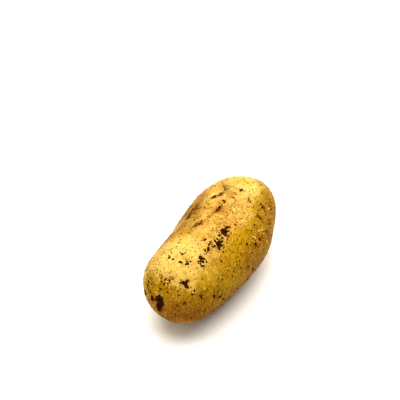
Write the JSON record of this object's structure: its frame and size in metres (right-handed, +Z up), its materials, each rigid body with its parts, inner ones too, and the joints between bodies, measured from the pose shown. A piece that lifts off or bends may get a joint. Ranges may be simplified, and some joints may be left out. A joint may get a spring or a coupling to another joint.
{
  "type": "potato",
  "caption": "Long oval yellow-skinned potato lying on its side, with shallow eyes, creases and a stem scar, resting on a small flat spot.",
  "frame": {"origin": "on the surface that the potato rests on, under the centre of its bounding box", "axes": "+X along the tuber from the stem end to the rose end, +Z up, -Y towards the bowed side"},
  "size_m": [0.0992, 0.0476, 0.0427],
  "materials": {
    "skin": "satin waxy yellow potato skin with clinging flecks of dry dark soil"
  },
  "bodies": {
    "root": {"tuber": "skin"}
  },
  "joints": []
}
